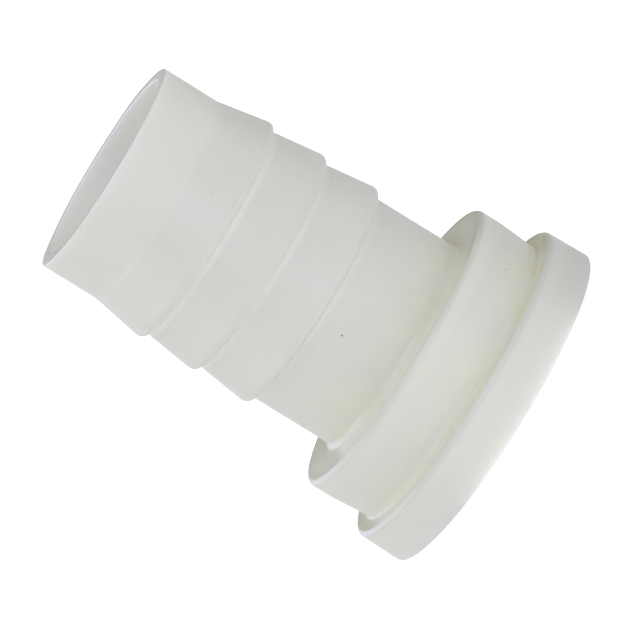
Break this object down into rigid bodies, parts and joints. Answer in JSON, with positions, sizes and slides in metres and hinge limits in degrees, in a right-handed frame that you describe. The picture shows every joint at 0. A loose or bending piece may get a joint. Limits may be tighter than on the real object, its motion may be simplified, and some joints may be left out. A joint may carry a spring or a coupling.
{
  "type": "thru hull fitting",
  "caption": "Flanged plastic hose tail with square-stepped barbs, a centring collar and a rubber seal in its flange face.",
  "frame": {"origin": "centre of the flange's front face, on the bore's axis", "axes": "+Z along the bore, from the flange's front face to the hose end; X and Y are free, as the part is a body of revolution"},
  "size_m": [0.0582, 0.0582, 0.0758],
  "materials": {
    "natural_nylon": "uncoloured moulded nylon, milky and slightly translucent, satin",
    "seal_rubber": "black nitrile rubber, matt"
  },
  "bodies": {
    "root": {"hose_tail": "natural_nylon", "face_seal": "seal_rubber"}
  },
  "joints": []
}
